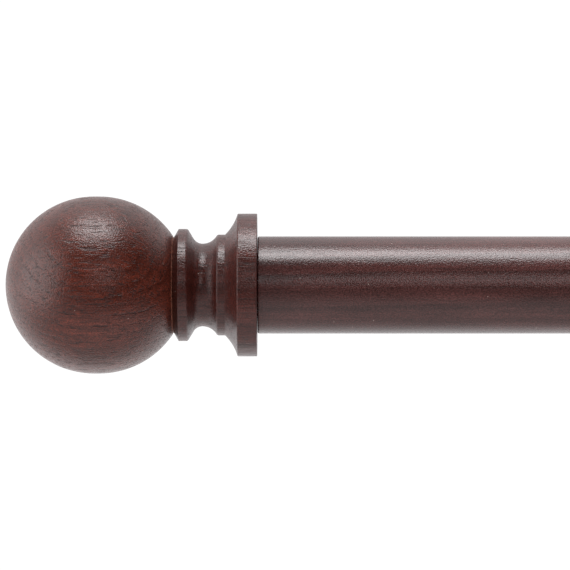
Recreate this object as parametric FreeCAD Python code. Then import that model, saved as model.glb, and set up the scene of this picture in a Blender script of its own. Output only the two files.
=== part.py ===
import FreeCAD, Part
import math
import os

# Curtain pole with two wall brackets: a turned wooden pole with a ball finial screwed into each end,
# lying in the open cradles of two turned wooden brackets.
# Millimetres. X runs along the pole, +Y points into the wall, +Z is up. The origin is the centre of the
# four wall screw holes, on the wall plane y = 0. The right half is modelled and the left is its mirror.

# Pole
POLE_LENGTH = 914.0
POLE_DIAMETER = 35.0
POLE_CHAMFER = 0.4
PROJECTION = 90.0  # wall to pole axis
BRACKET_INSET = 160.0  # pole end to bracket centre

# Finial ball, cut off flat where it meets the neck
BALL_DIAMETER = 63.75
BALL_WAIST = 1.8  # straight middle between the ball's two round halves
SEAM_DIAMETER = 34.8
SEAM_CHAMFER = 0.3

# Finial neck, from the pole outwards: collar, flare, ring, cove, bead
FINIAL_GAP = 0.2  # collar face to pole end, with the finial screwed home
COLLAR_OVERHANG = 8.2  # beyond the pole's surface
COLLAR_WIDTH = 7.2
FLARE_RUN = 4.35
FLARE_BEND = 18.0
RING_RADIUS = 18.15
RING_WIDTH = 2.8
COVE_RUN = 5.3  # ring to throat
THROAT_RADIUS = 14.9
COVE_TURN = 3.8  # radius of the tight side of the cove
COVE_FACE_DEG = 59.0  # slope of the straight face that rises to the bead
BEAD_RADIUS = 20.2
BEAD_WIDTH = 3.25
BEAD_SHOULDER = 1.9  # chamfer between bead and seam
ARRIS = 0.6  # rounding of the turned edges
FACE_ARRIS = 0.25  # the finer rounding round a flat end face

# Finial fixings
BOLT_DIAMETER = 8.0
BOLT_IN_POLE = 14.0
BOLT_IN_NECK = 17.0
BOLT_POINT = 3.5
BOLT_TIP_DIAMETER = 2.0
BOLT_CHAMFER = 0.8
RUNNING_CLEARANCE = 0.06  # radial, round a turning or sliding thread
POLE_INSERT_LENGTH = 16.0
INSERT_WALL = 2.0
INSERT_INSET = 0.5  # below the wood's end face
INSERT_SLOT_WIDTH = 1.8
INSERT_SLOT_DEPTH = 2.0
PILOT_EXTRA_DEPTH = 6.0  # drilled past an insert
PILOT_EXTRA_RADIUS = 0.4
DOWEL_DIAMETER = 10.0
DOWEL_IN_NECK = 9.0
DOWEL_IN_BALL = 13.0
DOWEL_CHAMFER = 1.0

# Wall plate and its riveted stud
PLATE_DIAMETER = 52.0
PLATE_THICKNESS = 2.0
PLATE_CHAMFER = 0.3
WALL_HOLE_DIAMETER = 5.0
WALL_HOLE_INSET = 8.0  # plate edge to hole centre
STUD_DIAMETER = 6.0
STUD_HEAD_FLARE = 2.0  # how far the countersunk head spreads beyond the stud
STUD_IN_ARM = 14.0
STUD_CHAMFER = 0.6

# Bracket base, a turned rosette that hides the wall plate
BASE_RIM = 6.3  # wooden rim round the recess
RECESS_CLEARANCE = 0.7
SCREW_HEAD_ROOM = 3.4
BASE_THICKNESS = 15.0
BASE_EDGE_WIDTH = 7.0
BASE_FLARE_RUN = 5.6
BASE_FLARE_BEND = 21.0
BASE_FRONT_RADIUS = 20.6
STUD_CLEARANCE = 0.4

# Bracket arm, turned like the neck: ring, cove, bead, then a plain shank
ARM_COVE_RUN = 8.6
ARM_THROAT_RADIUS = 10.4
ARM_BEAD_RADIUS = 14.4
ARM_BEAD_WIDTH = 2.6
ARM_SHOULDER = 2.0
ARM_SHANK_BACK_RADIUS = 10.6
ARM_FRONT_RADIUS = 9.0
ARM_SHANK_BEND = 160.0
ARM_INSERT_LENGTH = 12.0

# Cradle, an open cup that the pole is lifted into, and its fixings
CRADLE_CLEARANCE = 0.3
CRADLE_WALL = 7.5
CRADLE_WIDTH = 25.0
CRADLE_LIP = 9.0  # straight side above the pole axis, below the rounded tip
CRADLE_EDGE_ROUND = 1.6
CRADLE_BOSS = 2.7  # stands back from the cup to the arm's end
DOWEL_SCREW_DIAMETER = 5.0
DOWEL_SCREW_IN_ARM = 12.0
DOWEL_SCREW_COVER = 2.2  # wood left between the screw and the pole
DOWEL_SCREW_POINT = 3.0
RETAINER_DIAMETER = 4.0
RETAINER_HEAD_DIAMETER = 8.0
RETAINER_HEAD_HEIGHT = 2.8
RETAINER_SEAT_DEPTH = 0.6
RETAINER_SEAT_CLEARANCE = 0.4
RETAINER_SEAT_GAP = 0.05
RETAINER_TIP_GAP = 0.3  # below the pole
RETAINER_POINT = 0.8
RETAINER_SLOT_WIDTH = 1.0
RETAINER_SLOT_DEPTH = 1.3

# Places that follow from the sizes
POLE_RADIUS = POLE_DIAMETER / 2
POLE_END = POLE_LENGTH / 2
BRACKET_X = POLE_END - BRACKET_INSET
FINIAL_FACE = POLE_END + FINIAL_GAP
COLLAR_RADIUS = POLE_RADIUS + COLLAR_OVERHANG
SEAM_RADIUS = SEAM_DIAMETER / 2
BALL_RADIUS = BALL_DIAMETER / 2
BOLT_RADIUS = BOLT_DIAMETER / 2
THREAD_BORE = BOLT_RADIUS + RUNNING_CLEARANCE
POLE_INSERT_RADIUS = THREAD_BORE + INSERT_WALL
PLATE_RADIUS = PLATE_DIAMETER / 2
RECESS_RADIUS = PLATE_RADIUS + RECESS_CLEARANCE
RECESS_DEPTH = PLATE_THICKNESS + SCREW_HEAD_ROOM
BASE_RADIUS = RECESS_RADIUS + BASE_RIM
STUD_RADIUS = STUD_DIAMETER / 2
ARM_INSERT_RADIUS = STUD_RADIUS + INSERT_WALL
CRADLE_INNER = POLE_RADIUS + CRADLE_CLEARANCE
CRADLE_OUTER = CRADLE_INNER + CRADLE_WALL
ARM_END = PROJECTION - CRADLE_OUTER - CRADLE_BOSS
DOWEL_SCREW_RADIUS = DOWEL_SCREW_DIAMETER / 2
RETAINER_RADIUS = RETAINER_DIAMETER / 2
RETAINER_SEAT = CRADLE_OUTER - RETAINER_SEAT_DEPTH  # below the pole axis

OVERRUN = 1.0  # how far a cutting tool passes a face
SAME_PLACE = 1e-6


def point(along, radius):
    return FreeCAD.Vector(along, 0, radius)


class Outline:
    """Half of a turned piece's outline, drawn as (distance along the axis, radius)."""

    def __init__(self, along, radius):
        self.first = point(along, radius)
        self.last = self.first
        self.edges = []

    def line(self, along, radius):
        end = point(along, radius)
        self.edges.append(Part.LineSegment(self.last, end).toShape())
        self.last = end

    def arc(self, along, radius, bend):
        """An arc of radius |bend|: hollow, towards the axis, for a positive bend, full for a negative."""
        end = point(along, radius)
        chord = end - self.last
        half = chord.Length / 2
        rise = abs(bend) - math.sqrt(bend * bend - half * half)
        side = FreeCAD.Vector(chord.z, 0, -chord.x).normalize()
        middle = (self.last + end) * 0.5 + side * math.copysign(rise, bend)
        self.edges.append(Part.Arc(self.last, middle, end).toShape())
        self.last = end

    def round_corner(self, corner_along, corner_radius, along, radius):
        """A line towards a corner that stops short, and a tangent arc past it to the given point."""
        corner = point(corner_along, corner_radius)
        end = point(along, radius)
        reach = (end - corner).Length
        back = (self.last - corner).normalize()
        start = corner + back * reach
        self.edges.append(Part.LineSegment(self.last, start).toShape())
        bisector = (back + (end - corner).normalize()).normalize()
        cosine = bisector.dot(back)
        sine = math.sqrt(1 - cosine * cosine)
        middle = corner + bisector * (reach * (1 - sine) / cosine)
        self.edges.append(Part.Arc(start, middle, end).toShape())
        self.last = end

    def solid(self):
        """Closes the outline and turns it about the axis."""
        if not self.last.isEqual(self.first, SAME_PLACE):
            self.line(self.first.x, self.first.z)
        face = Part.Face(Part.Wire(self.edges))
        return face.revolve(FreeCAD.Vector(), FreeCAD.Vector(1, 0, 0), 360)


def cylinder(start, end, radius):
    """A cylinder on the X axis between two distances."""
    return Part.makeCylinder(radius, end - start, point(start, 0), FreeCAD.Vector(1, 0, 0))


def rod(start, end, radius, chamfer):
    """A cylinder on the X axis with both ends chamfered."""
    outline = Outline(start, 0)
    outline.line(start, radius - chamfer)
    outline.line(start + chamfer, radius)
    outline.line(end - chamfer, radius)
    outline.line(end, radius - chamfer)
    outline.line(end, 0)
    return outline.solid()


def add_cove(outline, ring_end, run, throat_radius, bead_radius):
    """Over a ring's edge, down to the throat, round its tight side and up a straight face to the bead."""
    ring_radius = outline.last.z
    fall = ring_radius - throat_radius
    bend = (run * run + fall * fall) / (2 * fall)
    steepest = math.asin(run / bend) - ARRIS / bend
    throat = ring_end + run
    below_edge = throat_radius + bend * (1 - math.cos(steepest))
    outline.round_corner(ring_end, ring_radius, throat - bend * math.sin(steepest), below_edge)
    outline.arc(throat, throat_radius, bend)
    slope = math.radians(COVE_FACE_DEG)
    turn_end = throat + COVE_TURN * math.sin(slope)
    turn_radius = throat_radius + COVE_TURN * (1 - math.cos(slope))
    outline.arc(turn_end, turn_radius, COVE_TURN)
    face_run = (bead_radius - turn_radius) / math.tan(slope)
    outline.round_corner(turn_end + face_run, bead_radius, turn_end + face_run + ARRIS, bead_radius)


def neck_outline():
    outline = Outline(0, 0)
    outline.round_corner(0, COLLAR_RADIUS, FACE_ARRIS, COLLAR_RADIUS)
    outline.round_corner(COLLAR_WIDTH, COLLAR_RADIUS, COLLAR_WIDTH, COLLAR_RADIUS - ARRIS)
    flare_end = COLLAR_WIDTH + FLARE_RUN
    outline.arc(flare_end, RING_RADIUS, FLARE_BEND)
    add_cove(outline, flare_end + RING_WIDTH, COVE_RUN, THROAT_RADIUS, BEAD_RADIUS)
    bead_end = outline.last.x - ARRIS + BEAD_WIDTH
    outline.line(bead_end, BEAD_RADIUS)
    seam = bead_end + BEAD_SHOULDER
    outline.line(seam - SEAM_CHAMFER, SEAM_RADIUS)
    outline.line(seam, SEAM_RADIUS - SEAM_CHAMFER)
    outline.line(seam, 0)
    return outline


def neck_length():
    return neck_outline().last.x


def finial_neck():
    seam = neck_length()
    neck = neck_outline().solid()
    neck = neck.cut(cylinder(-OVERRUN, BOLT_IN_NECK + RUNNING_CLEARANCE, THREAD_BORE))
    return neck.cut(cylinder(seam - DOWEL_IN_NECK, seam + OVERRUN, DOWEL_DIAMETER / 2))


def finial_ball():
    """Its flat meets the neck's seam."""
    seam = neck_length()
    waist_start = seam + math.sqrt(BALL_RADIUS * BALL_RADIUS - SEAM_RADIUS * SEAM_RADIUS)
    waist_end = waist_start + BALL_WAIST
    chamfer_end = seam + SEAM_CHAMFER
    from_waist = waist_start - chamfer_end
    outline = Outline(seam, 0)
    outline.line(seam, SEAM_RADIUS - SEAM_CHAMFER)
    outline.line(chamfer_end, math.sqrt(BALL_RADIUS * BALL_RADIUS - from_waist * from_waist))
    outline.arc(waist_start, BALL_RADIUS, -BALL_RADIUS)
    outline.line(waist_end, BALL_RADIUS)
    outline.arc(waist_end + BALL_RADIUS, 0, -BALL_RADIUS)
    return outline.solid().cut(cylinder(seam - OVERRUN, seam + DOWEL_IN_BALL, DOWEL_DIAMETER / 2))


def finial_dowel():
    seam = neck_length()
    return rod(seam - DOWEL_IN_NECK, seam + DOWEL_IN_BALL, DOWEL_DIAMETER / 2, DOWEL_CHAMFER)


def finial_bolt():
    """Machine thread in the pole, wood thread with a point in the neck."""
    tip = -FINIAL_GAP - BOLT_IN_POLE
    outline = Outline(tip, 0)
    outline.line(tip, BOLT_RADIUS - BOLT_CHAMFER)
    outline.line(tip + BOLT_CHAMFER, BOLT_RADIUS)
    outline.line(BOLT_IN_NECK - BOLT_POINT, BOLT_RADIUS)
    outline.line(BOLT_IN_NECK, BOLT_TIP_DIAMETER / 2)
    outline.line(BOLT_IN_NECK, 0)
    return outline.solid()


def threaded_insert(start, end, outer_radius, bore_radius):
    """A brass sleeve with a driving slot across the end at start."""
    sleeve = cylinder(start, end, outer_radius).cut(cylinder(start - OVERRUN, end + OVERRUN, bore_radius))
    slot = Part.makeBox(
        INSERT_SLOT_DEPTH + OVERRUN,
        2 * (outer_radius + OVERRUN),
        INSERT_SLOT_WIDTH,
        FreeCAD.Vector(start - OVERRUN, -outer_radius - OVERRUN, -INSERT_SLOT_WIDTH / 2),
    )
    return sleeve.cut(slot)


def pole_insert():
    """Measured inwards from the pole's end, then turned to face outwards."""
    return threaded_insert(INSERT_INSET, INSERT_INSET + POLE_INSERT_LENGTH, POLE_INSERT_RADIUS, THREAD_BORE)


def pole():
    stick = rod(-POLE_END, POLE_END, POLE_RADIUS, POLE_CHAMFER)
    insert_end = INSERT_INSET + POLE_INSERT_LENGTH
    hole = cylinder(-OVERRUN, insert_end, POLE_INSERT_RADIUS)
    pilot = cylinder(0, insert_end + PILOT_EXTRA_DEPTH, BOLT_RADIUS + PILOT_EXTRA_RADIUS)
    drilling = facing_inwards(hole.fuse(pilot))
    drilled = stick.cut(drilling).cut(mirrored(drilling))
    drilled.translate(FreeCAD.Vector(0, -PROJECTION, 0))
    return drilled


def wall_plate():
    plate = rod(0, PLATE_THICKNESS, PLATE_RADIUS, PLATE_CHAMFER)
    for side in (-1, 1):
        hole = cylinder(-OVERRUN, PLATE_THICKNESS + OVERRUN, WALL_HOLE_DIAMETER / 2)
        hole.translate(point(0, side * (PLATE_RADIUS - WALL_HOLE_INSET)))
        plate = plate.cut(hole)
    return plate.cut(stud_head())


def stud_head():
    """Countersunk, flush with the back of the plate."""
    return Part.makeCone(
        STUD_RADIUS + STUD_HEAD_FLARE,
        STUD_RADIUS,
        PLATE_THICKNESS,
        FreeCAD.Vector(),
        FreeCAD.Vector(1, 0, 0),
    )


def plate_stud():
    tip = BASE_THICKNESS + STUD_IN_ARM
    return rod(0, tip, STUD_RADIUS, STUD_CHAMFER).fuse(stud_head()).removeSplitter()


def bracket_base():
    outline = Outline(RECESS_DEPTH, STUD_RADIUS + STUD_CLEARANCE)
    outline.line(RECESS_DEPTH, RECESS_RADIUS)
    outline.line(0, RECESS_RADIUS)
    outline.round_corner(0, BASE_RADIUS, FACE_ARRIS, BASE_RADIUS)
    outline.round_corner(BASE_EDGE_WIDTH, BASE_RADIUS, BASE_EDGE_WIDTH, BASE_RADIUS - ARRIS)
    outline.arc(BASE_EDGE_WIDTH + BASE_FLARE_RUN, BASE_FRONT_RADIUS, BASE_FLARE_BEND)
    outline.round_corner(BASE_THICKNESS, BASE_FRONT_RADIUS, BASE_THICKNESS, BASE_FRONT_RADIUS - ARRIS)
    outline.line(BASE_THICKNESS, STUD_RADIUS + STUD_CLEARANCE)
    return outline.solid()


def arm():
    back = BASE_THICKNESS
    outline = Outline(back, 0)
    outline.round_corner(back, RING_RADIUS, back + FACE_ARRIS, RING_RADIUS)
    add_cove(outline, back + RING_WIDTH, ARM_COVE_RUN, ARM_THROAT_RADIUS, ARM_BEAD_RADIUS)
    bead_end = outline.last.x - ARRIS + ARM_BEAD_WIDTH
    outline.line(bead_end, ARM_BEAD_RADIUS)
    outline.line(bead_end + ARM_SHOULDER, ARM_SHANK_BACK_RADIUS)
    outline.arc(ARM_END, ARM_FRONT_RADIUS, ARM_SHANK_BEND)
    outline.line(ARM_END, 0)
    turned = outline.solid()
    insert_end = back + INSERT_INSET + ARM_INSERT_LENGTH
    turned = turned.cut(cylinder(back - OVERRUN, insert_end, ARM_INSERT_RADIUS))
    turned = turned.cut(cylinder(back, back + STUD_IN_ARM + STUD_CLEARANCE, STUD_RADIUS + STUD_CLEARANCE))
    return turned.cut(cylinder(ARM_END - DOWEL_SCREW_IN_ARM, ARM_END + OVERRUN, DOWEL_SCREW_RADIUS))


def arm_insert():
    start = BASE_THICKNESS + INSERT_INSET
    return threaded_insert(start, start + ARM_INSERT_LENGTH, ARM_INSERT_RADIUS, STUD_RADIUS)


def cradle_section():
    """The cup seen along the pole: a U whose rounded tips run smoothly into its inside and outside."""
    inner_and_outer = CRADLE_INNER + CRADLE_OUTER
    tip_radius = (CRADLE_WALL - CRADLE_LIP * CRADLE_LIP / inner_and_outer) / 2
    tip_centre = CRADLE_INNER + tip_radius
    lean = math.atan2(CRADLE_LIP, tip_centre)
    shoulder = (CRADLE_OUTER * math.cos(lean), CRADLE_OUTER * math.sin(lean))
    halfway = (math.pi + lean) / 2
    crown = (tip_centre + tip_radius * math.cos(halfway), CRADLE_LIP + tip_radius * math.sin(halfway))

    def at(across, height):
        return FreeCAD.Vector(PROJECTION + across, 0, height)

    edges = [
        Part.Arc(at(-shoulder[0], shoulder[1]), at(0, -CRADLE_OUTER), at(*shoulder)),
        Part.Arc(at(*shoulder), at(*crown), at(CRADLE_INNER, CRADLE_LIP)),
        Part.LineSegment(at(CRADLE_INNER, CRADLE_LIP), at(CRADLE_INNER, 0)),
        Part.Arc(at(CRADLE_INNER, 0), at(0, -CRADLE_INNER), at(-CRADLE_INNER, 0)),
        Part.LineSegment(at(-CRADLE_INNER, 0), at(-CRADLE_INNER, CRADLE_LIP)),
        Part.Arc(at(-CRADLE_INNER, CRADLE_LIP), at(-crown[0], crown[1]), at(-shoulder[0], shoulder[1])),
    ]
    return Part.Face(Part.Wire([edge.toShape() for edge in edges]))


def cradle():
    section = cradle_section()
    section.translate(FreeCAD.Vector(0, -CRADLE_WIDTH / 2, 0))
    cup = section.extrude(FreeCAD.Vector(0, CRADLE_WIDTH, 0))
    side_edges = [edge for edge in cup.Edges if abs(edge.BoundBox.YLength) < SAME_PLACE]
    cup = cup.makeFillet(CRADLE_EDGE_ROUND, side_edges)
    boss = cylinder(ARM_END, PROJECTION - CRADLE_INNER - DOWEL_SCREW_COVER / 2, ARM_FRONT_RADIUS)
    cup = cup.fuse(boss).removeSplitter()
    cup = cup.cut(cylinder(ARM_END - OVERRUN, dowel_screw_tip(), DOWEL_SCREW_RADIUS))
    seat_radius = RETAINER_HEAD_DIAMETER / 2 + RETAINER_SEAT_CLEARANCE
    seat = upright(-CRADLE_OUTER - OVERRUN, -RETAINER_SEAT, seat_radius)
    hole = upright(-CRADLE_OUTER, 0, RETAINER_RADIUS + RUNNING_CLEARANCE)
    return cup.cut(seat).cut(hole)


def upright(low, high, radius):
    """A vertical cylinder through the pole axis at the bracket's centre."""
    return Part.makeCylinder(radius, high - low, FreeCAD.Vector(PROJECTION, 0, low))


def dowel_screw_tip():
    return PROJECTION - CRADLE_INNER - DOWEL_SCREW_COVER


def cradle_dowel_screw():
    start = ARM_END - DOWEL_SCREW_IN_ARM
    end = dowel_screw_tip()
    outline = Outline(start, 0)
    outline.line(start + DOWEL_SCREW_POINT, DOWEL_SCREW_RADIUS)
    outline.line(end - DOWEL_SCREW_POINT, DOWEL_SCREW_RADIUS)
    outline.line(end, 0)
    return outline.solid()


def retaining_screw():
    """Drawn point first along X, with its seat at zero, then stood upright below the pole."""
    tip = RETAINER_SEAT - POLE_RADIUS - RETAINER_TIP_GAP
    head_radius = RETAINER_HEAD_DIAMETER / 2
    seat = -RETAINER_SEAT_GAP
    top = seat - RETAINER_HEAD_HEIGHT
    chord = math.hypot(head_radius, RETAINER_HEAD_HEIGHT)
    dome_radius = chord * chord / (2 * RETAINER_HEAD_HEIGHT)
    outline = Outline(top, 0)
    outline.arc(seat, head_radius, -dome_radius)
    outline.line(seat, RETAINER_RADIUS)
    outline.line(tip - RETAINER_POINT, RETAINER_RADIUS)
    outline.line(tip, RETAINER_RADIUS - RETAINER_POINT)
    outline.line(tip, 0)
    slot = Part.makeBox(
        RETAINER_SLOT_DEPTH + OVERRUN,
        RETAINER_HEAD_DIAMETER,
        RETAINER_SLOT_WIDTH,
        FreeCAD.Vector(top - OVERRUN, -head_radius, -RETAINER_SLOT_WIDTH / 2),
    )
    screw = outline.solid().cut(slot)
    screw.rotate(FreeCAD.Vector(), FreeCAD.Vector(0, 1, 0), -90)
    screw.translate(point(PROJECTION, -RETAINER_SEAT))
    return screw


def mirrored(shape):
    """Right piece to left piece."""
    return shape.mirror(FreeCAD.Vector(), FreeCAD.Vector(1, 0, 0))


def facing_inwards(shape):
    """From distances inwards along +X to the pole's right end."""
    turned = shape.mirror(FreeCAD.Vector(), FreeCAD.Vector(1, 0, 0))
    turned.translate(point(POLE_END, 0))
    return turned


def on_pole_end(shape):
    """From distances outwards along +X to the right finial's place."""
    shape.translate(FreeCAD.Vector(FINIAL_FACE, -PROJECTION, 0))
    return shape


def on_wall(shape):
    """From distances out of the wall along +X to the right bracket's place."""
    shape.rotate(FreeCAD.Vector(), FreeCAD.Vector(0, 0, 1), -90)
    shape.translate(point(BRACKET_X, 0))
    return shape


def right_pole_insert():
    sleeve = facing_inwards(pole_insert())
    sleeve.translate(FreeCAD.Vector(0, -PROJECTION, 0))
    return sleeve


def paired_pieces():
    """The right-hand pieces that the left side mirrors, by name."""
    return {
        "pole_insert": right_pole_insert(),
        "finial_bolt": on_pole_end(finial_bolt()),
        "finial_neck": on_pole_end(finial_neck()),
        "finial_dowel": on_pole_end(finial_dowel()),
        "finial_ball": on_pole_end(finial_ball()),
        "wall_plate": on_wall(wall_plate()),
        "plate_stud": on_wall(plate_stud()),
        "bracket_base": on_wall(bracket_base()),
        "arm_insert": on_wall(arm_insert()),
        "bracket_arm": on_wall(arm()),
        "cradle_dowel_screw": on_wall(cradle_dowel_screw()),
        "cradle": on_wall(cradle()),
        "retaining_screw": on_wall(retaining_screw()),
    }


def write(name, shape):
    shape.exportStep(os.path.join("parts", name + ".step"))


def main():
    os.makedirs("parts", exist_ok=True)
    write("pole", pole())
    for name, shape in paired_pieces().items():
        write("right_" + name, shape)
        write("left_" + name, mirrored(shape))


main()
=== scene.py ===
import math

import bmesh
import bpy
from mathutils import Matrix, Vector


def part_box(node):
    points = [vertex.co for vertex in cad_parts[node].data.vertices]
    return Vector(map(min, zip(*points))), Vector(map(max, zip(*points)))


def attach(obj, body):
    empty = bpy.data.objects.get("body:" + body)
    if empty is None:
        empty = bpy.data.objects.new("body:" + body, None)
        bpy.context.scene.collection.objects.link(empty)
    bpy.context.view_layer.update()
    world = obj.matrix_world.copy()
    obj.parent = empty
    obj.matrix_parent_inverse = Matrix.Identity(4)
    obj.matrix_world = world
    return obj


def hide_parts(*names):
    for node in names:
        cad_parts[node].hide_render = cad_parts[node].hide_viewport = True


# Looks of a curtain pole with ball finials on two wall brackets: dark stained wood under a satin lacquer,
# brass inserts, zinc-plated steel and dark screws. Metres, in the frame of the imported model: X along the
# pole, +Y into the wall, +Z up.

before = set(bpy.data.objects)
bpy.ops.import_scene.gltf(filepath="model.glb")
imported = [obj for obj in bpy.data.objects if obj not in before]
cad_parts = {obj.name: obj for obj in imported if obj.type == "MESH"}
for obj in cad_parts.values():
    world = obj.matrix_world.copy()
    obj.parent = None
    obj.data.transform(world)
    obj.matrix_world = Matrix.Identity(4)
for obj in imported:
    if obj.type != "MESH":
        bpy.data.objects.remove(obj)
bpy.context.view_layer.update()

MM = 0.001
ALONG_X, ALONG_Y, ALONG_Z = Vector((1, 0, 0)), Vector((0, 1, 0)), Vector((0, 0, 1))
SIDES = (("left", -1), ("right", 1))


def middle(node):
    low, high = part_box(node)
    return (low + high) / 2


# ---------------------------------------------------------------- node trees


class Graph:
    """Short names for the nodes that the materials here are made of. Sockets and plain values mix freely."""

    def __init__(self, tree):
        self.tree = tree
        tree.nodes.clear()

    def add(self, kind, inputs=(), **settings):
        node = self.tree.nodes.new(kind)
        for name, value in settings.items():
            setattr(node, name, value)
        for key, value in dict(inputs).items():
            self.feed(node.inputs[key], value)
        return node

    def feed(self, socket, value):
        if isinstance(value, bpy.types.NodeSocket):
            self.tree.links.new(value, socket)
        else:
            socket.default_value = value

    def maths(self, operation, first, second=0.0):
        return self.add("ShaderNodeMath", {0: first, 1: second}, operation=operation).outputs[0]

    def vector(self, operation, first, second):
        node = self.add("ShaderNodeVectorMath", {0: first, 1: second}, operation=operation)
        return node.outputs["Value" if operation == "DOT_PRODUCT" else "Vector"]

    def step(self, value, low, high, at_low=0.0, at_high=1.0):
        """A smooth rise or fall between two values of the input."""
        inputs = {"Value": value, "From Min": low, "From Max": high, "To Min": at_low, "To Max": at_high}
        return self.add("ShaderNodeMapRange", inputs, interpolation_type="SMOOTHSTEP").outputs[0]

    def noise(self, vector, scale, detail=3.0, roughness=0.55):
        inputs = {"Vector": vector, "Scale": scale, "Detail": detail, "Roughness": roughness}
        return self.add("ShaderNodeTexNoise", inputs).outputs["Fac"]

    def cells(self, vector, scale=1.0):
        """Distance from the nearest of the scattered cell centres."""
        inputs = {"Vector": vector, "Scale": scale}
        return self.add("ShaderNodeTexVoronoi", inputs, feature="F1").outputs["Distance"]

    def mix(self, factor, first, second):
        node = self.add("ShaderNodeMix", data_type="RGBA")
        for socket, value in zip((node.inputs[0], node.inputs[6], node.inputs[7]), (factor, first, second)):
            self.feed(socket, value)
        return node.outputs[2]

    def bump(self, height, distance):
        inputs = {"Height": height, "Distance": distance, "Strength": 1.0}
        return self.add("ShaderNodeBump", inputs).outputs[0]


def new_material(name):
    material = bpy.data.materials.new(name)
    material.use_nodes = True
    return material, Graph(material.node_tree)


def show(graph, **inputs):
    """Puts a Principled shader behind the output. Names are the shader's sockets, with _ for a space."""
    values = {key.replace("_", " "): value for key, value in inputs.items()}
    shader = graph.add("ShaderNodeBsdfPrincipled", values)
    output = graph.add("ShaderNodeOutputMaterial")
    graph.tree.links.new(shader.outputs[0], output.inputs["Surface"])


# ---------------------------------------------------------------- wood

BALL_STAIN = (0.080, 0.0150, 0.0080)
NECK_STAIN = (0.058, 0.0120, 0.0085)
POLE_STAIN = (0.062, 0.0210, 0.0190)
BRACKET_STAIN = (0.080, 0.0170, 0.0110)
# A lighter colour painted along the seam's edge: a painted highlight, in place of the light on the rounded
# edge.
PAINTED_EDGE_HIGHLIGHT = (0.420, 0.1700, 0.1100, 1)
DUST = (0.450, 0.3400, 0.3000, 1)

LACQUER_IOR = 1.5

# How far from a joint line the lighter line painted along its edge as a highlight reaches, from full to none.
EDGE_HIGHLIGHT_FULL_WITHIN = 0.25 * MM
EDGE_HIGHLIGHT_NONE_BEYOND = 0.45 * MM

# Heights of the surface's relief, in millimetres. The second of a pair is added in proportion to open_grain.
FUZZ_RELIEF = (0.009, 0.021)
PORE_RELIEF = -0.035
GROOVE_RELIEF = -0.07
LINE_RELIEF = -0.05
GRIT_RELIEF = (0.075, 0.05)
SWELL_RELIEF = 0.22


def shade(stain, share):
    return tuple(channel * share for channel in stain) + (1,)


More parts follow.
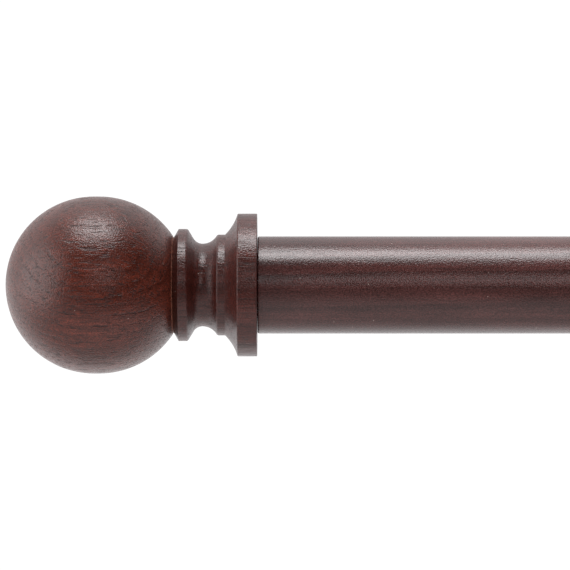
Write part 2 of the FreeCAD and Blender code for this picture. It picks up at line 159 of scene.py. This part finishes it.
def wood(name, centre, grain, layers, stain, ring_mm, open_grain, roughness, wavy, highlight_planes=()):
    """Stained wood under lacquer. grain is the direction of the fibres, layers the direction across the
    growth rings and ring_mm their spacing. open_grain scales the pores, and wavy the slow unevenness of the
    sanded surface. The last argument lists planes across the grain, by their distance along it, where a
    lighter line is painted along the edge as its highlight."""
    material, graph = new_material(name)
    place = graph.add("ShaderNodeTexCoord").outputs["Object"]
    local = graph.vector("SUBTRACT", place, tuple(centre))
    across = layers.cross(grain).normalized()
    directions = enumerate((grain, across, layers))
    axes = {i: graph.vector("DOT_PRODUCT", local, tuple(axis / MM)) for i, axis in directions}
    stock = graph.add("ShaderNodeCombineXYZ", axes).outputs[0]  # millimetres, the fibres along the first axis

    def stretched(share, scale, detail=2.0, rough=0.55):
        """Noise drawn out along the fibres: its scale there is only this share of the scale across."""
        return graph.noise(graph.vector("MULTIPLY", stock, (share, 1, 1)), scale, detail, rough)

    # Growth rings, bent and rippled. phase runs from 0 to 1 within a year.
    bend = graph.maths("MULTIPLY", stretched(0.10, 0.035), 14.0)
    ripple = graph.maths("MULTIPLY", stretched(0.12, 0.22), 1.8)
    rings = graph.maths("DIVIDE", graph.maths("ADD", axes[2], graph.maths("ADD", bend, ripple)), ring_mm)
    phase = graph.maths("FRACT", rings)
    whole_years = graph.maths("FLOOR", rings)
    year = graph.add("ShaderNodeTexWhiteNoise", {"W": whole_years}, noise_dimensions="1D").outputs[0]
    late = graph.maths("MULTIPLY", graph.step(phase, 0.30, 0.90), graph.step(phase, 1.0, 0.95))
    early = graph.step(phase, 0.60, 0.10)

    # Fibres, pores and open grooves.
    streaks = stretched(0.05, 0.75, 3.0, 0.6)
    fuzz = stretched(0.30, 2.2, 2.0, 0.6)
    grit = stretched(1.0, 2.0, 1.0, 0.5)
    patches = stretched(0.25, 0.06)
    pore_field = graph.maths("ADD", stretched(0.10, 1.45, 1.0), graph.maths("MULTIPLY", early, 0.06))
    pores = graph.step(pore_field, 0.58, 0.68, 0.0, open_grain)
    lines = stretched(0.03, 1.25, 3.0, 0.65)
    fibre = 0.04 + 0.16 * open_grain ** 2
    broken = graph.step(stretched(0.06, 0.40, 1.0), 0.50, 0.58)
    from_groove = graph.maths("ABSOLUTE", graph.maths("SUBTRACT", phase, 0.10))
    grooves = graph.maths("MULTIPLY", graph.step(from_groove, 0.07, 0.03), broken)
    grooves = graph.maths("MULTIPLY", grooves, max(0.0, 3 * open_grain - 2))

    # Colour.
    tone = graph.mix(graph.step(patches, 0.35, 0.68), shade(stain, 0.85), shade(stain, 1.30))
    darker = graph.maths("MULTIPLY", late, graph.maths("ADD", graph.maths("MULTIPLY", year, 0.4), 0.2))
    tone = graph.mix(darker, tone, shade(stain, 0.45))
    tone = graph.mix(graph.step(streaks, 0.52, 0.70, 0.0, 0.5), tone, shade(stain, 0.45))
    tone = graph.mix(graph.step(streaks, 0.44, 0.26, 0.0, 0.5), tone, shade(stain, 1.60))
    # Painted highlight: a lighter line painted into the colour along the edge at each given plane, broken by
    # the fibres.
    for distance in highlight_planes:
        along = graph.vector("DOT_PRODUCT", place, tuple(grain))
        away = graph.maths("ABSOLUTE", graph.maths("SUBTRACT", along, distance))
        edge_highlight = graph.step(away, EDGE_HIGHLIGHT_NONE_BEYOND, EDGE_HIGHLIGHT_FULL_WITHIN)
        tone = graph.mix(graph.maths("MULTIPLY", edge_highlight, graph.step(fuzz, 0.3, 0.6, 0.4, 0.9)), tone, PAINTED_EDGE_HIGHLIGHT)
    filled = graph.maths("MULTIPLY", graph.maths("MAXIMUM", pores, grooves), 0.6)
    tone = graph.mix(filled, tone, shade(stain, 0.12))
    threads = graph.step(lines, 0.35, 0.65, 1 + fibre, 1 - fibre)
    speckle = graph.maths("MULTIPLY", graph.step(grit, 0.30, 0.70, 0.65, 1.35), threads)
    tone = graph.add("ShaderNodeVectorMath", {0: tone, "Scale": speckle}, operation="SCALE").outputs[0]
    specks = graph.step(graph.cells(stock, 0.16), 0.042, 0.030, 0.0, 0.55)
    tone = graph.mix(specks, tone, DUST)

    # Gloss and relief.
    gloss = graph.maths("ADD", graph.maths("MULTIPLY", streaks, 0.10), graph.maths("MULTIPLY", pores, 0.20))
    gloss = graph.maths("ADD", gloss, roughness - 0.05)
    relief = (
        (pores, PORE_RELIEF),
        (grooves, GROOVE_RELIEF),
        (lines, LINE_RELIEF * open_grain),
        (grit, GRIT_RELIEF[0] + GRIT_RELIEF[1] * open_grain),
        (stretched(0.2, 0.09, 1.0), SWELL_RELIEF * wavy),
    )
    height = graph.maths("MULTIPLY", fuzz, FUZZ_RELIEF[0] + FUZZ_RELIEF[1] * open_grain)
    for field, millimetres in relief:
        height = graph.maths("ADD", height, graph.maths("MULTIPLY", field, millimetres))
    show(graph, Base_Color=tone, Roughness=gloss, Normal=graph.bump(height, MM), IOR=LACQUER_IOR)
    return material


def tilted(degrees):
    """Across the growth rings: up, leaning towards the room."""
    angle = math.radians(degrees)
    return Vector((0, -math.sin(angle), math.cos(angle)))


# ---------------------------------------------------------------- metals and plain wood


TOOL_MARK_RELIEF = 0.012 * MM
BEECH_RELIEF = 0.03 * MM


def in_millimetres(graph):
    return graph.vector("MULTIPLY", graph.add("ShaderNodeTexCoord").outputs["Object"], (1 / MM,) * 3)


def metal(name, colour, dull, roughness, brushed):
    """Worn plated or turned metal: fine tool marks, blotches and a duller tone in patches. brushed gives the
    scale of the marks along X, Y and Z."""
    material, graph = new_material(name)
    place = in_millimetres(graph)
    blotches = graph.noise(place, 0.35, 4.0)
    marks = graph.noise(graph.vector("MULTIPLY", place, brushed), 6.0, 3.0, 0.6)
    tone = graph.mix(graph.step(blotches, 0.42, 0.66), colour, dull)
    gloss = graph.maths("ADD", graph.maths("MULTIPLY", blotches, 0.22), roughness - 0.11)
    relief = graph.bump(marks, TOOL_MARK_RELIEF)
    show(graph, Base_Color=tone, Metallic=1.0, Roughness=gloss, Normal=relief)
    return material


def bare_beech():
    material, graph = new_material("bare_beech")
    place = in_millimetres(graph)
    fibres = graph.noise(graph.vector("MULTIPLY", place, (0.06, 1, 1)), 2.0, 4.0)
    flecks = graph.cells(graph.vector("MULTIPLY", place, (0.5, 2.4, 2.4)))
    tone = graph.mix(fibres, (0.50, 0.33, 0.18, 1), (0.70, 0.52, 0.33, 1))
    tone = graph.mix(graph.step(flecks, 0.22, 0.12, 0.0, 0.6), tone, (0.36, 0.20, 0.10, 1))
    gloss = graph.step(fibres, 0.2, 0.8, 0.5, 0.65)
    show(graph, Base_Color=tone, Roughness=gloss, Normal=graph.bump(fibres, BEECH_RELIEF))
    return material


# ---------------------------------------------------------------- threaded pieces

SEGMENTS = 40  # round a threaded piece
CREST_FLAT = 0.125  # share of the pitch
SHARP_EDGE = math.radians(32)

BOLT_PITCH = 1.25 * MM
BOLT_THREAD_DEPTH = 0.77 * MM
BOLT_CHAMFER = 0.8 * MM
WOOD_PITCH = 3.0 * MM
WOOD_THREAD_DEPTH = 0.9 * MM
WOOD_POINT = 3.5 * MM
WOOD_POINT_RADIUS = 1.0 * MM
PLAIN_SHANK = 3.0 * MM

SCREW_PITCH = 0.7 * MM
SCREW_THREAD_DEPTH = 0.43 * MM
SCREW_RADIUS = 2.0 * MM
SCREW_CHAMFER = 0.8 * MM
SCREW_HEAD_HEIGHT = 2.8 * MM
SLOT_WIDTH = 1.0 * MM
SLOT_DEPTH = 1.3 * MM
DOME_STEPS = 14
BOLT_STEPS_PER_PITCH = 12
SCREW_STEPS_PER_PITCH = 10


def flank(turns):
    """Height of a thread at this many turns along it: 0 at the root, 1 at the crest."""
    share = turns - math.floor(turns)
    slope = 1 - abs(2 * share - 1)
    return min(1.0, max(0.0, (slope - CREST_FLAT) / (1 - 2 * CREST_FLAT)))


def threaded(name, start, axis, profile, threads, step):
    """A turned piece with right-hand threads. profile lists (distance along the axis, radius), and threads
    lists (from, to, pitch, crest radius, depth). step is the spacing of the mesh along the axis."""
    first = axis.orthogonal().normalized()
    second = axis.cross(first)
    rings = [profile[0]]
    for (here, radius), (there, next_radius) in zip(profile, profile[1:]):
        count = max(1, math.ceil(abs(there - here) / step))
        for i in range(1, count + 1):
            rings.append((here + (there - here) * i / count, radius + (next_radius - radius) * i / count))
    mesh = bmesh.new()
    loops = []
    for distance, radius in rings:
        loop = []
        for k in range(SEGMENTS):
            turn = k / SEGMENTS
            reach = radius
            for low, high, pitch, crest, depth in threads:
                if low < distance < high and radius <= crest:
                    runout = min(1.0, 2 * (distance - low) / pitch, 2 * (high - distance) / pitch)
                    reach = min(reach, crest - depth * runout * (1 - flank(distance / pitch - turn)))
            angle = 2 * math.pi * turn
            side = first * (reach * math.cos(angle)) + second * (reach * math.sin(angle))
            loop.append(mesh.verts.new(start + axis * distance + side))
        loops.append(loop)
    for loop, following in zip(loops, loops[1:]):
        for k in range(SEGMENTS):
            after = (k + 1) % SEGMENTS
            mesh.faces.new((loop[k], loop[after], following[after], following[k]))
    mesh.faces.new(loops[0][::-1])
    mesh.faces.new(loops[-1])
    return finished(name, mesh)


def finished(name, mesh):
    """The object of a bmesh, its faces smooth between sharp edges."""
    bmesh.ops.recalc_face_normals(mesh, faces=mesh.faces)
    data = bpy.data.meshes.new(name)
    mesh.to_mesh(data)
    mesh.free()
    data.shade_smooth()
    data.set_sharp_from_angle(angle=SHARP_EDGE)
    piece = bpy.data.objects.new(name, data)
    bpy.context.scene.collection.objects.link(piece)
    return piece


def finial_bolt(side, sign, material):
    """Machine thread in the pole, a plain shank at the joint, wood thread in the neck."""
    node = f"{side}_finial_bolt"
    low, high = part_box(node)
    neck_low, neck_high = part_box(f"{side}_finial_neck")
    outwards = ALONG_X * sign
    tip, joint = (low.x, neck_low.x) if sign > 0 else (high.x, neck_high.x)
    centre = middle(node)
    length, radius, reach = high.x - low.x, (high.z - low.z) / 2, abs(joint - tip)
    profile = (
        (0, radius - BOLT_CHAMFER),
        (BOLT_CHAMFER, radius),
        (length - WOOD_POINT, radius),
        (length, WOOD_POINT_RADIUS),
    )
    threads = (
        (-BOLT_PITCH, reach + BOLT_PITCH, BOLT_PITCH, radius, BOLT_THREAD_DEPTH),
        (reach + PLAIN_SHANK, length, WOOD_PITCH, radius, WOOD_THREAD_DEPTH),
    )
    start = Vector((tip, centre.y, centre.z))
    step = BOLT_PITCH / BOLT_STEPS_PER_PITCH
    piece = threaded(f"{side}_bolt_thread", start, outwards, profile, threads, step)
    settle(piece, node, material)


def retaining_screw(side, material):
    """Slotted dome head below the cradle, machine thread up to the pole."""
    node = f"{side}_retaining_screw"
    low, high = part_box(node)
    centre = middle(node)
    length, head_radius = high.z - low.z, (high.x - low.x) / 2
    dome = (head_radius ** 2 + SCREW_HEAD_HEIGHT ** 2) / (2 * SCREW_HEAD_HEIGHT)
    rim_angle = math.asin(head_radius / dome)
    angles = [rim_angle * (i + 0.5) / (DOME_STEPS + 0.5) for i in range(DOME_STEPS + 1)]
    profile = [(dome * (1 - math.cos(a)), dome * math.sin(a)) for a in angles]
    profile += [
        (SCREW_HEAD_HEIGHT, SCREW_RADIUS),
        (length - SCREW_CHAMFER, SCREW_RADIUS),
        (length, SCREW_RADIUS - SCREW_CHAMFER),
    ]
    first, last = SCREW_HEAD_HEIGHT + SCREW_PITCH / 2, length + SCREW_PITCH
    threads = ((first, last, SCREW_PITCH, SCREW_RADIUS, SCREW_THREAD_DEPTH),)
    start = Vector((centre.x, centre.y, low.z))
    step = SCREW_PITCH / SCREW_STEPS_PER_PITCH
    piece = threaded(f"{side}_screw_thread", start, ALONG_Z, profile, threads, step)
    cut_slot(piece, start, head_radius)
    settle(piece, node, material)


def cut_slot(piece, head_top, head_radius):
    """A driving slot along the pole, across the head."""
    box = bmesh.new()
    bmesh.ops.create_cube(box, size=1.0)
    size = Vector((3 * head_radius, SLOT_WIDTH, 2 * SLOT_DEPTH))
    bmesh.ops.scale(box, vec=size, verts=box.verts)
    bmesh.ops.translate(box, vec=head_top, verts=box.verts)
    tool = finished("slot_tool", box)
    cut = piece.modifiers.new("slot", "BOOLEAN")
    cut.operation = "DIFFERENCE"
    cut.solver = "EXACT"
    cut.object = tool
    evaluated = piece.evaluated_get(bpy.context.evaluated_depsgraph_get())
    whole = piece.data
    piece.data = bpy.data.meshes.new_from_object(evaluated)
    piece.modifiers.clear()
    bpy.data.meshes.remove(whole)
    bpy.data.objects.remove(tool)
    piece.data.shade_smooth()
    piece.data.set_sharp_from_angle(angle=SHARP_EDGE)


def settle(piece, node, material):
    """Puts the piece in place of the CAD node, on the body that has the node's own name."""
    piece.data.materials.clear()
    piece.data.materials.append(material)
    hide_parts(node)
    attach(piece, node)


# ---------------------------------------------------------------- dressing the CAD pieces


def dress(node, material):
    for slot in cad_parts[node].material_slots:
        slot.material = material


def dress_all():
    zinc = metal("zinc_plate", (0.60, 0.61, 0.62, 1), (0.44, 0.45, 0.47, 1), 0.34, (1, 1, 1))
    pressed = metal("pressed_zinc", (0.52, 0.53, 0.54, 1), (0.38, 0.39, 0.41, 1), 0.42, (0.15, 1, 1))
    brass = metal("turned_brass", (0.70, 0.48, 0.20, 1), (0.50, 0.32, 0.13, 1), 0.30, (2, 0.6, 0.6))
    bronze = metal("rubbed_bronze", (0.085, 0.058, 0.042, 1), (0.040, 0.028, 0.022, 1), 0.42, (1, 1, 1))
    beech = bare_beech()
    # Each look: grain, layers, stain, ring spacing, open grain, roughness, unevenness and the planes of a
    # painted edge highlight.
    dress("pole", wood("pole_stain", middle("pole"), ALONG_X, tilted(20), POLE_STAIN, 5.5, 0.12, 0.26, 1.0))
    for side, sign in SIDES:
        ball_low, ball_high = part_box(f"{side}_finial_ball")
        seam = ball_low.x if sign > 0 else ball_high.x
        looks = {
            "finial_ball": (ALONG_X, tilted(38), BALL_STAIN, 3.4, 1.0, 0.29, 0.5, [seam]),
            "finial_neck": (ALONG_X, tilted(-15), NECK_STAIN, 4.2, 0.70, 0.30, 0.3),
            "bracket_base": (ALONG_X, ALONG_Z, BRACKET_STAIN, 4.5, 0.7, 0.30, 0.3),
            "bracket_arm": (ALONG_Y, ALONG_Z, BRACKET_STAIN, 4.5, 0.6, 0.30, 0.3),
            "cradle": (ALONG_X, tilted(60), BRACKET_STAIN, 4.5, 0.7, 0.30, 0.3),
        }
        for part, look in looks.items():
            node = f"{side}_{part}"
            dress(node, wood(f"{node}_stain", middle(node), *look))
        dress(f"{side}_wall_plate", pressed)
        for part in ("plate_stud", "cradle_dowel_screw"):
            dress(f"{side}_{part}", zinc)
        for part in ("pole_insert", "arm_insert"):
            dress(f"{side}_{part}", brass)
        dress(f"{side}_finial_dowel", beech)
        finial_bolt(side, sign, zinc)
        retaining_screw(side, bronze)


# ---------------------------------------------------------------- floor, light and camera

FLOOR_BELOW = 2.0
FLOOR_RADIUS = 20.0
FLOOR_CORNERS = 96


def floor():
    """A pale disc far below. It lights nothing: the studio light stands for its bounce."""
    material, graph = new_material("pale_floor")
    speckle = graph.noise(graph.add("ShaderNodeTexCoord").outputs["Object"], 3.0)
    show(graph, Base_Color=graph.mix(speckle, (0.86, 0.86, 0.85, 1), (0.90, 0.90, 0.89, 1)), Roughness=0.8)
    angles = [2 * math.pi * i / FLOOR_CORNERS for i in range(FLOOR_CORNERS)]
    mesh = bpy.data.meshes.new("floor")
    rim = [(FLOOR_RADIUS * math.cos(a), FLOOR_RADIUS * math.sin(a), -FLOOR_BELOW) for a in angles]
    mesh.from_pydata(rim, [], [list(range(FLOOR_CORNERS))])
    mesh.materials.append(material)
    disc = bpy.data.objects.new("floor", mesh)
    bpy.context.scene.collection.objects.link(disc)
    disc.visible_glossy = False
    disc.visible_diffuse = False


# Each panel of light: from and to, in degrees round the pole's axis (0 is straight out into the room, 90
# overhead, 180 behind the wall), how soft those two edges are, from and to along the pole (-1 is the left,
# 1 the right), how soft those are, and the strength.
PANELS = (
    (-200, -125, 30, -1.3, 1.3, 0.1, 1.30),
    (-130, -34, 20, -1.3, 0.85, 0.3, 0.85),
    (-34, -12, 12, -1.3, 0.10, 0.5, 0.35),
    (6, 21, 7, 0.00, 0.38, 0.12, 3.2),
    (66, 91, 14, -0.25, 0.21, 0.38, 13.6),
    (88, 128, 24, -0.80, 0.80, 0.3, 0.7),
    (112, 200, 30, -1.3, 1.3, 0.1, 0.95),
    (-200, 200, 1, -1.3, -0.72, 0.3, 0.10),
)
LEFT_BOX = Vector((-0.93, -0.25, 0.20)).normalized()
LEFT_BOX_STRENGTH = 2.7
LEFT_BOX_EDGE = (0.745, 0.968)  # cosines of the angles from its middle, where it ends and where it is full
ROOM_TINT = (1, 0.98, 0.99, 1)
BACKDROP_TINT = (1, 1, 1, 1)
BACKDROP_STRENGTH = 1.05


def studio_light():
    """A white room behind and below, a bright soft box overhead, one on the left, and a dark room in front
    with a narrow strip a little above the pole. The camera itself sees plain white."""
    world = bpy.data.worlds.new("studio")
    bpy.context.scene.world = world
    world.use_nodes = True
    graph = Graph(world.node_tree)
    direction = graph.add("ShaderNodeTexCoord").outputs["Generated"]
    along, back, up = graph.add("ShaderNodeSeparateXYZ", {0: direction}).outputs
    radians = graph.maths("ARCTAN2", up, graph.maths("MULTIPLY", back, -1.0))
    round_pole = graph.maths("MULTIPLY", radians, math.degrees(1))
    light = 0.0
    for first, last, soft, left, right, side_soft, strength in PANELS:
        half, side_half = soft / 2, side_soft / 2
        panel = graph.step(round_pole, first - half, first + half, 0.0, strength)
        panel = graph.maths("MULTIPLY", panel, graph.step(round_pole, last + half, last - half))
        panel = graph.maths("MULTIPLY", panel, graph.step(along, left - side_half, left + side_half))
        panel = graph.maths("MULTIPLY", panel, graph.step(along, right + side_half, right - side_half))
        light = graph.maths("ADD", light, panel)
    towards = graph.vector("DOT_PRODUCT", direction, tuple(LEFT_BOX))
    light = graph.maths("ADD", light, graph.step(towards, *LEFT_BOX_EDGE, 0.0, LEFT_BOX_STRENGTH))
    seen = graph.add("ShaderNodeBackground", {"Color": BACKDROP_TINT, "Strength": BACKDROP_STRENGTH})
    cast = graph.add("ShaderNodeBackground", {"Color": ROOM_TINT, "Strength": light})
    is_seen = graph.add("ShaderNodeLightPath").outputs["Is Camera Ray"]
    mixed = graph.add("ShaderNodeMixShader", {0: is_seen, 1: cast.outputs[0], 2: seen.outputs[0]})
    output = graph.add("ShaderNodeOutputWorld")
    graph.tree.links.new(mixed.outputs[0], output.inputs["Surface"])


# Where each lamp stands, as a direction from the left finial, and its power in watts.
FILL_LAMPS = (
    ((0.86, -0.45, 0.20), 9.0),
    ((0.15, -0.45, -0.88), 14.0),
    ((-0.95, -0.30, -0.10), 11.0),
)
FILL_DISTANCE = 2.0
FILL_SIZE = 1.2


def fill_lamps():
    """Large dim lamps, which leave no reflection of their own."""
    for direction, watts in FILL_LAMPS:
        towards = Vector(direction).normalized()
        data = bpy.data.lights.new("fill", "AREA")
        data.size = FILL_SIZE
        data.energy = watts
        lamp = bpy.data.objects.new("fill", data)
        lamp.location = middle("left_finial_neck") + towards * FILL_DISTANCE
        lamp.rotation_euler = towards.to_track_quat("Z", "Y").to_euler()
        lamp.visible_glossy = False
        bpy.context.scene.collection.objects.link(lamp)


CAMERA_DISTANCE = 1.26
CAMERA_RIGHT_OF_COLLAR = 10.0 * MM
CAMERA_LENS = 221.05


def camera():
    """Square to the pole and level with it, close on the left finial."""
    collar_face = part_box("left_finial_neck")[1].x
    pole_axis = middle("pole")
    data = bpy.data.cameras.new("camera")
    data.lens = CAMERA_LENS
    eye = bpy.data.objects.new("camera", data)
    eye.location = (collar_face + CAMERA_RIGHT_OF_COLLAR, pole_axis.y - CAMERA_DISTANCE, pole_axis.z)
    eye.rotation_euler = (math.radians(90), 0, 0)
    bpy.context.scene.collection.objects.link(eye)
    bpy.context.scene.camera = eye


dress_all()
floor()
studio_light()
fill_lamps()
camera()
bpy.context.scene.view_settings.view_transform = "Standard"
